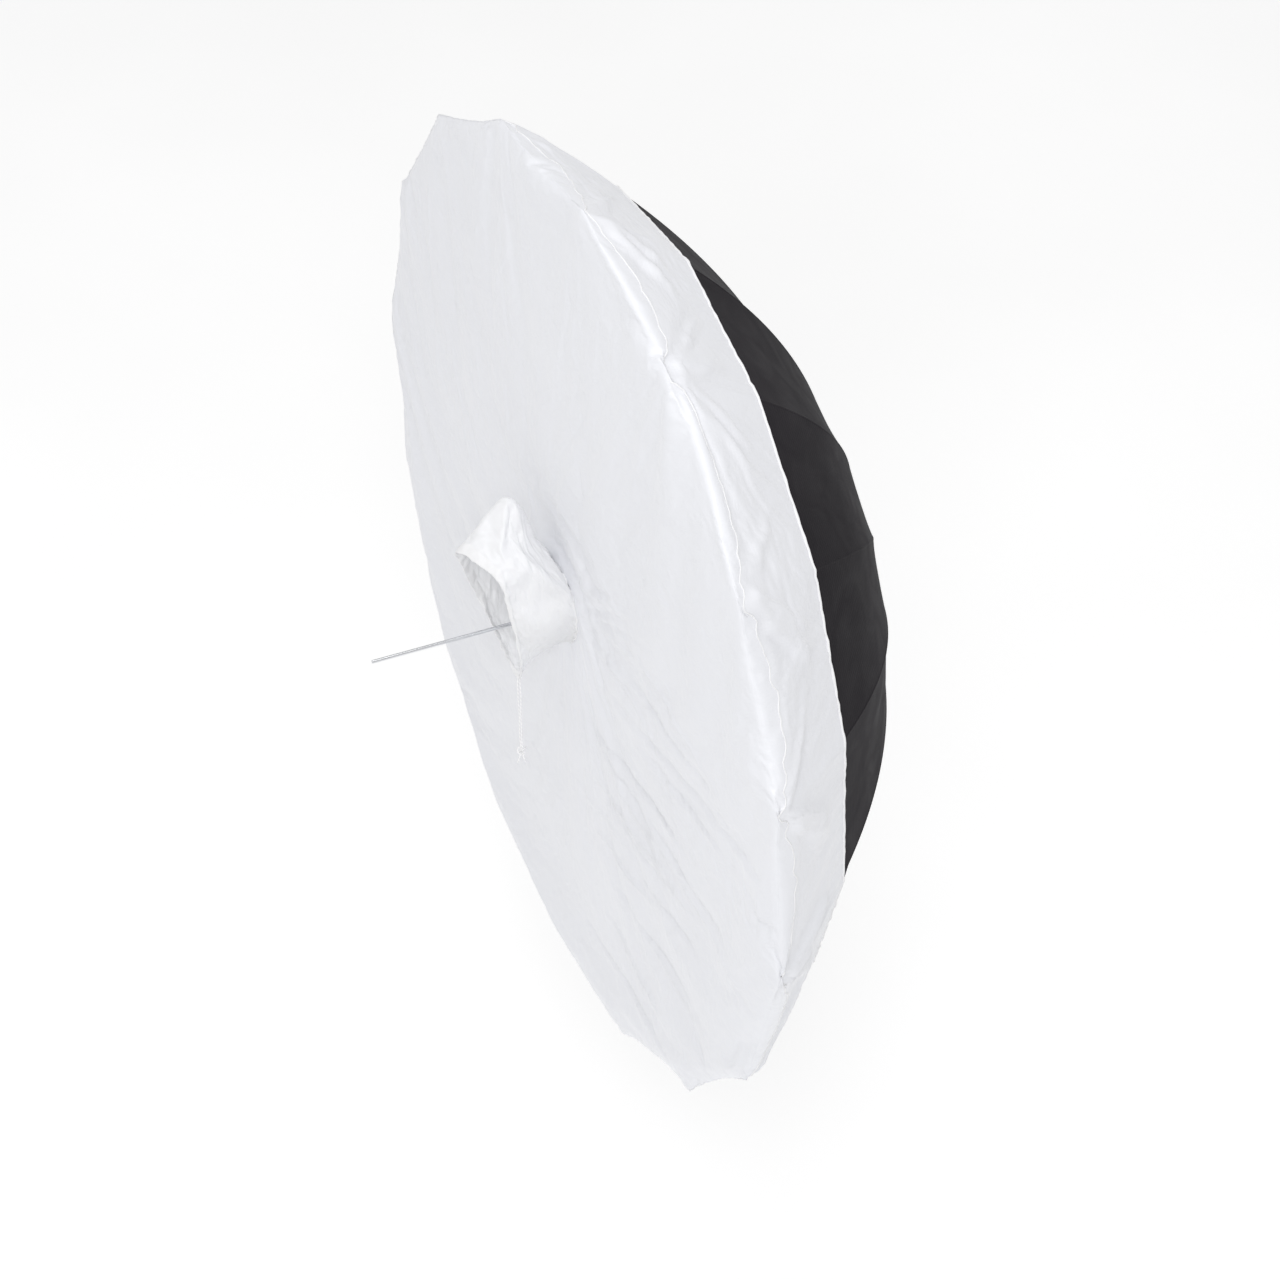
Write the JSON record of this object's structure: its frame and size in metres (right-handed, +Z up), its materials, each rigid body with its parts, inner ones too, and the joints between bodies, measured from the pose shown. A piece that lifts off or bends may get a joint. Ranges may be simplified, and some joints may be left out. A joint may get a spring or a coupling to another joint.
{
  "type": "umbrella reflector",
  "caption": "Deep folding studio umbrella with a black outer canopy, a bare front shaft and a white diffuser cover with a central sleeve.",
  "frame": {"origin": "on the shaft's axis, at the middle of the bare front stretch that a lamp bracket clamps", "axes": "-Y along the shaft towards its free front end and the side the light leaves, +Y towards the crown, +Z up"},
  "size_m": [2.1178, 1.0642, 2.1178],
  "materials": {
    "canopy_fabric": "black woven nylon, matte outside",
    "diffuser_fabric": "white satin nylon, slightly translucent",
    "cord_white": "white braided cord",
    "shaft_chrome": "bright plated steel tube",
    "steel_wire": "drawn steel wire",
    "hub_plastic": "black moulded nylon",
    "rib_rod": "pultruded fibreglass rod, black"
  },
  "bodies": {
    "frame": {"shaft": "shaft_chrome", "crown": "hub_plastic", "crown_wire": "steel_wire", "crown_cap": "hub_plastic"},
    "runner": {"runner": "hub_plastic"},
    "catch": {"shaft_catch": "steel_wire"},
    "cover": {"diffuser_front": "diffuser_fabric", "diffuser_band": "diffuser_fabric", "diffuser_sleeve": "diffuser_fabric", "drawstring_a": "cord_white", "drawstring_b": "cord_white", "drawstring_knot": "cord_white"},
    "rib_arm_01": {"rib_01": "rib_rod", "canopy_gore_01": "canopy_fabric"},
    "strut_01": {"stretcher_01": "steel_wire"},
    "rib_arm_02": {"rib_02": "rib_rod", "canopy_gore_02": "canopy_fabric"},
    "strut_02": {"stretcher_02": "steel_wire"},
    "rib_arm_03": {"rib_03": "rib_rod", "canopy_gore_03": "canopy_fabric"},
    "strut_03": {"stretcher_03": "steel_wire"},
    "rib_arm_04": {"rib_04": "rib_rod", "canopy_gore_04": "canopy_fabric"},
    "strut_04": {"stretcher_04": "steel_wire"},
    "rib_arm_05": {"rib_05": "rib_rod", "canopy_gore_05": "canopy_fabric"},
    "strut_05": {"stretcher_05": "steel_wire"},
    "rib_arm_06": {"rib_06": "rib_rod", "canopy_gore_06": "canopy_fabric"},
    "strut_06": {"stretcher_06": "steel_wire"},
    "rib_arm_07": {"rib_07": "rib_rod", "canopy_gore_07": "canopy_fabric"},
    "strut_07": {"stretcher_07": "steel_wire"},
    "rib_arm_08": {"rib_08": "rib_rod", "canopy_gore_08": "canopy_fabric"},
    "strut_08": {"stretcher_08": "steel_wire"},
    "rib_arm_09": {"rib_09": "rib_rod", "canopy_gore_09": "canopy_fabric"},
    "strut_09": {"stretcher_09": "steel_wire"},
    "rib_arm_10": {"rib_10": "rib_rod", "canopy_gore_10": "canopy_fabric"},
    "strut_10": {"stretcher_10": "steel_wire"},
    "rib_arm_11": {"rib_11": "rib_rod", "canopy_gore_11": "canopy_fabric"},
    "strut_11": {"stretcher_11": "steel_wire"},
    "rib_arm_12": {"rib_12": "rib_rod", "canopy_gore_12": "canopy_fabric"},
    "strut_12": {"stretcher_12": "steel_wire"},
    "rib_arm_13": {"rib_13": "rib_rod", "canopy_gore_13": "canopy_fabric"},
    "strut_13": {"stretcher_13": "steel_wire"},
    "rib_arm_14": {"rib_14": "rib_rod", "canopy_gore_14": "canopy_fabric"},
    "strut_14": {"stretcher_14": "steel_wire"},
    "rib_arm_15": {"rib_15": "rib_rod", "canopy_gore_15": "canopy_fabric"},
    "strut_15": {"stretcher_15": "steel_wire"},
    "rib_arm_16": {"rib_16": "rib_rod", "canopy_gore_16": "canopy_fabric"},
    "strut_16": {"stretcher_16": "steel_wire"}
  },
  "joints": [
    {"name": "fold", "type": "hinge", "parent": "frame", "child": "rib_arm_01", "pos_m": [0.01731, 0.9374, 0.00493], "axis": [0.274, 0, -0.9617], "range_deg": [0, 59], "deforming": ["canopy_gore_01"]},
    {"name": "strut_hinge_01", "type": "hinge", "parent": "rib_arm_01", "child": "strut_01", "pos_m": [0.40917, 0.85514, 0.11655], "axis": [0.274, 0, -0.9617], "range_deg": [-119, 1]},
    {"name": "rib_hinge_02", "type": "hinge", "parent": "frame", "child": "rib_arm_02", "pos_m": [0.01411, 0.9374, 0.01118], "axis": [0.6211, 0, -0.7837], "range_deg": [-0.5, 59.5], "deforming": ["canopy_gore_02"]},
    {"name": "strut_hinge_02", "type": "hinge", "parent": "rib_arm_02", "child": "strut_02", "pos_m": [0.33342, 0.85514, 0.26426], "axis": [0.6211, 0, -0.7837], "range_deg": [-119, 1]},
    {"name": "rib_hinge_03", "type": "hinge", "parent": "frame", "child": "rib_arm_03", "pos_m": [0.00875, 0.9374, 0.01573], "axis": [0.8738, 0, -0.4863], "range_deg": [-0.5, 59.5], "deforming": ["canopy_gore_03"]},
    {"name": "strut_hinge_03", "type": "hinge", "parent": "rib_arm_03", "child": "strut_03", "pos_m": [0.20691, 0.85514, 0.37174], "axis": [0.8738, 0, -0.4863], "range_deg": [-119, 1]},
    {"name": "rib_hinge_04", "type": "hinge", "parent": "frame", "child": "rib_arm_04", "pos_m": [0.00207, 0.9374, 0.01788], "axis": [0.9934, 0, -0.1149], "range_deg": [-0.5, 59.5], "deforming": ["canopy_gore_04"]},
    {"name": "strut_hinge_04", "type": "hinge", "parent": "rib_arm_04", "child": "strut_04", "pos_m": [0.0489, 0.85514, 0.42262], "axis": [0.9934, 0, -0.1149], "range_deg": [-119, 1]},
    {"name": "rib_hinge_05", "type": "hinge", "parent": "frame", "child": "rib_arm_05", "pos_m": [-0.00493, 0.9374, 0.01731], "axis": [0.9617, 0, 0.274], "range_deg": [-0.5, 59.5], "deforming": ["canopy_gore_05"]},
    {"name": "strut_hinge_05", "type": "hinge", "parent": "rib_arm_05", "child": "strut_05", "pos_m": [-0.11655, 0.85514, 0.40917], "axis": [0.9617, 0, 0.274], "range_deg": [-119, 1]},
    {"name": "rib_hinge_06", "type": "hinge", "parent": "frame", "child": "rib_arm_06", "pos_m": [-0.01118, 0.9374, 0.01411], "axis": [0.7837, 0, 0.6211], "range_deg": [-0.5, 59.5], "deforming": ["canopy_gore_06"]},
    {"name": "strut_hinge_06", "type": "hinge", "parent": "rib_arm_06", "child": "strut_06", "pos_m": [-0.26426, 0.85514, 0.33342], "axis": [0.7837, 0, 0.6211], "range_deg": [-119, 1]},
    {"name": "rib_hinge_07", "type": "hinge", "parent": "frame", "child": "rib_arm_07", "pos_m": [-0.01573, 0.9374, 0.00875], "axis": [0.4863, 0, 0.8738], "range_deg": [-0.5, 59.5], "deforming": ["canopy_gore_07"]},
    {"name": "strut_hinge_07", "type": "hinge", "parent": "rib_arm_07", "child": "strut_07", "pos_m": [-0.37174, 0.85514, 0.20691], "axis": [0.4863, 0, 0.8738], "range_deg": [-119, 1]},
    {"name": "rib_hinge_08", "type": "hinge", "parent": "frame", "child": "rib_arm_08", "pos_m": [-0.01788, 0.9374, 0.00207], "axis": [0.1149, 0, 0.9934], "range_deg": [-0.5, 59.5], "deforming": ["canopy_gore_08"]},
    {"name": "strut_hinge_08", "type": "hinge", "parent": "rib_arm_08", "child": "strut_08", "pos_m": [-0.42262, 0.85514, 0.0489], "axis": [0.1149, 0, 0.9934], "range_deg": [-119, 1]},
    {"name": "rib_hinge_09", "type": "hinge", "parent": "frame", "child": "rib_arm_09", "pos_m": [-0.01731, 0.9374, -0.00493], "axis": [-0.274, 0, 0.9617], "range_deg": [-0.5, 59.5], "deforming": ["canopy_gore_09"]},
    {"name": "strut_hinge_09", "type": "hinge", "parent": "rib_arm_09", "child": "strut_09", "pos_m": [-0.40917, 0.85514, -0.11655], "axis": [-0.274, 0, 0.9617], "range_deg": [-119, 1]},
    {"name": "rib_hinge_10", "type": "hinge", "parent": "frame", "child": "rib_arm_10", "pos_m": [-0.01411, 0.9374, -0.01118], "axis": [-0.6211, 0, 0.7837], "range_deg": [-0.5, 59.5], "deforming": ["canopy_gore_10"]},
    {"name": "strut_hinge_10", "type": "hinge", "parent": "rib_arm_10", "child": "strut_10", "pos_m": [-0.33342, 0.85514, -0.26426], "axis": [-0.6211, 0, 0.7837], "range_deg": [-119, 1]},
    {"name": "rib_hinge_11", "type": "hinge", "parent": "frame", "child": "rib_arm_11", "pos_m": [-0.00875, 0.9374, -0.01573], "axis": [-0.8738, 0, 0.4863], "range_deg": [-0.5, 59.5], "deforming": ["canopy_gore_11"]},
    {"name": "strut_hinge_11", "type": "hinge", "parent": "rib_arm_11", "child": "strut_11", "pos_m": [-0.20691, 0.85514, -0.37174], "axis": [-0.8738, 0, 0.4863], "range_deg": [-119, 1]},
    {"name": "rib_hinge_12", "type": "hinge", "parent": "frame", "child": "rib_arm_12", "pos_m": [-0.00207, 0.9374, -0.01788], "axis": [-0.9934, 0, 0.1149], "range_deg": [-0.5, 59.5], "deforming": ["canopy_gore_12"]},
    {"name": "strut_hinge_12", "type": "hinge", "parent": "rib_arm_12", "child": "strut_12", "pos_m": [-0.0489, 0.85514, -0.42262], "axis": [-0.9934, 0, 0.1149], "range_deg": [-119, 1]},
    {"name": "rib_hinge_13", "type": "hinge", "parent": "frame", "child": "rib_arm_13", "pos_m": [0.00493, 0.9374, -0.01731], "axis": [-0.9617, 0, -0.274], "range_deg": [-0.5, 59.5], "deforming": ["canopy_gore_13"]},
    {"name": "strut_hinge_13", "type": "hinge", "parent": "rib_arm_13", "child": "strut_13", "pos_m": [0.11655, 0.85514, -0.40917], "axis": [-0.9617, 0, -0.274], "range_deg": [-119, 1]},
    {"name": "rib_hinge_14", "type": "hinge", "parent": "frame", "child": "rib_arm_14", "pos_m": [0.01118, 0.9374, -0.01411], "axis": [-0.7837, 0, -0.6211], "range_deg": [-0.5, 59.5], "deforming": ["canopy_gore_14"]},
    {"name": "strut_hinge_14", "type": "hinge", "parent": "rib_arm_14", "child": "strut_14", "pos_m": [0.26426, 0.85514, -0.33342], "axis": [-0.7837, 0, -0.6211], "range_deg": [-119, 1]},
    {"name": "rib_hinge_15", "type": "hinge", "parent": "frame", "child": "rib_arm_15", "pos_m": [0.01573, 0.9374, -0.00875], "axis": [-0.4863, 0, -0.8738], "range_deg": [-0.5, 59.5], "deforming": ["canopy_gore_15"]},
    {"name": "strut_hinge_15", "type": "hinge", "parent": "rib_arm_15", "child": "strut_15", "pos_m": [0.37174, 0.85514, -0.20691], "axis": [-0.4863, 0, -0.8738], "range_deg": [-119, 1]},
    {"name": "rib_hinge_16", "type": "hinge", "parent": "frame", "child": "rib_arm_16", "pos_m": [0.01788, 0.9374, -0.00207], "axis": [-0.1149, 0, -0.9934], "range_deg": [-0.5, 59.5], "deforming": ["canopy_gore_16"]},
    {"name": "strut_hinge_16", "type": "hinge", "parent": "rib_arm_16", "child": "strut_16", "pos_m": [0.42262, 0.85514, -0.0489], "axis": [-0.1149, 0, -0.9934], "range_deg": [-119, 1]},
    {"name": "runner_slide", "type": "slide", "parent": "frame", "child": "runner", "axis": [0, -1, 0], "range_m": [-0.001, 0.6207]},
    {"name": "cover_off", "type": "slide", "parent": "frame", "child": "cover", "axis": [0, -1, 0], "range_m": [-0.001, 1.1141]},
    {"name": "catch_press", "type": "slide", "parent": "frame", "child": "catch", "axis": [-1, 0, 0], "range_m": [0, 0.0025], "stiffness_N_per_m": 400, "deforming": ["shaft_catch"]}
  ],
  "couplings": [
    {"joint": "strut_hinge_01", "follows": "fold", "ratio": -2},
    {"joint": "rib_hinge_02", "follows": "fold", "ratio": 1},
    {"joint": "strut_hinge_02", "follows": "fold", "ratio": -2},
    {"joint": "rib_hinge_03", "follows": "fold", "ratio": 1},
    {"joint": "strut_hinge_03", "follows": "fold", "ratio": -2},
    {"joint": "rib_hinge_04", "follows": "fold", "ratio": 1},
    {"joint": "strut_hinge_04", "follows": "fold", "ratio": -2},
    {"joint": "rib_hinge_05", "follows": "fold", "ratio": 1},
    {"joint": "strut_hinge_05", "follows": "fold", "ratio": -2},
    {"joint": "rib_hinge_06", "follows": "fold", "ratio": 1},
    {"joint": "strut_hinge_06", "follows": "fold", "ratio": -2},
    {"joint": "rib_hinge_07", "follows": "fold", "ratio": 1},
    {"joint": "strut_hinge_07", "follows": "fold", "ratio": -2},
    {"joint": "rib_hinge_08", "follows": "fold", "ratio": 1},
    {"joint": "strut_hinge_08", "follows": "fold", "ratio": -2},
    {"joint": "rib_hinge_09", "follows": "fold", "ratio": 1},
    {"joint": "strut_hinge_09", "follows": "fold", "ratio": -2},
    {"joint": "rib_hinge_10", "follows": "fold", "ratio": 1},
    {"joint": "strut_hinge_10", "follows": "fold", "ratio": -2},
    {"joint": "rib_hinge_11", "follows": "fold", "ratio": 1},
    {"joint": "strut_hinge_11", "follows": "fold", "ratio": -2},
    {"joint": "rib_hinge_12", "follows": "fold", "ratio": 1},
    {"joint": "strut_hinge_12", "follows": "fold", "ratio": -2},
    {"joint": "rib_hinge_13", "follows": "fold", "ratio": 1},
    {"joint": "strut_hinge_13", "follows": "fold", "ratio": -2},
    {"joint": "rib_hinge_14", "follows": "fold", "ratio": 1},
    {"joint": "strut_hinge_14", "follows": "fold", "ratio": -2},
    {"joint": "rib_hinge_15", "follows": "fold", "ratio": 1},
    {"joint": "strut_hinge_15", "follows": "fold", "ratio": -2},
    {"joint": "rib_hinge_16", "follows": "fold", "ratio": 1},
    {"joint": "strut_hinge_16", "follows": "fold", "ratio": -2},
    {"joint": "runner_slide", "follows": "fold", "m_per_rad": 0.60084},
    {"joint": "cover_off", "follows": "fold", "m_per_rad": 1.08}
  ]
}
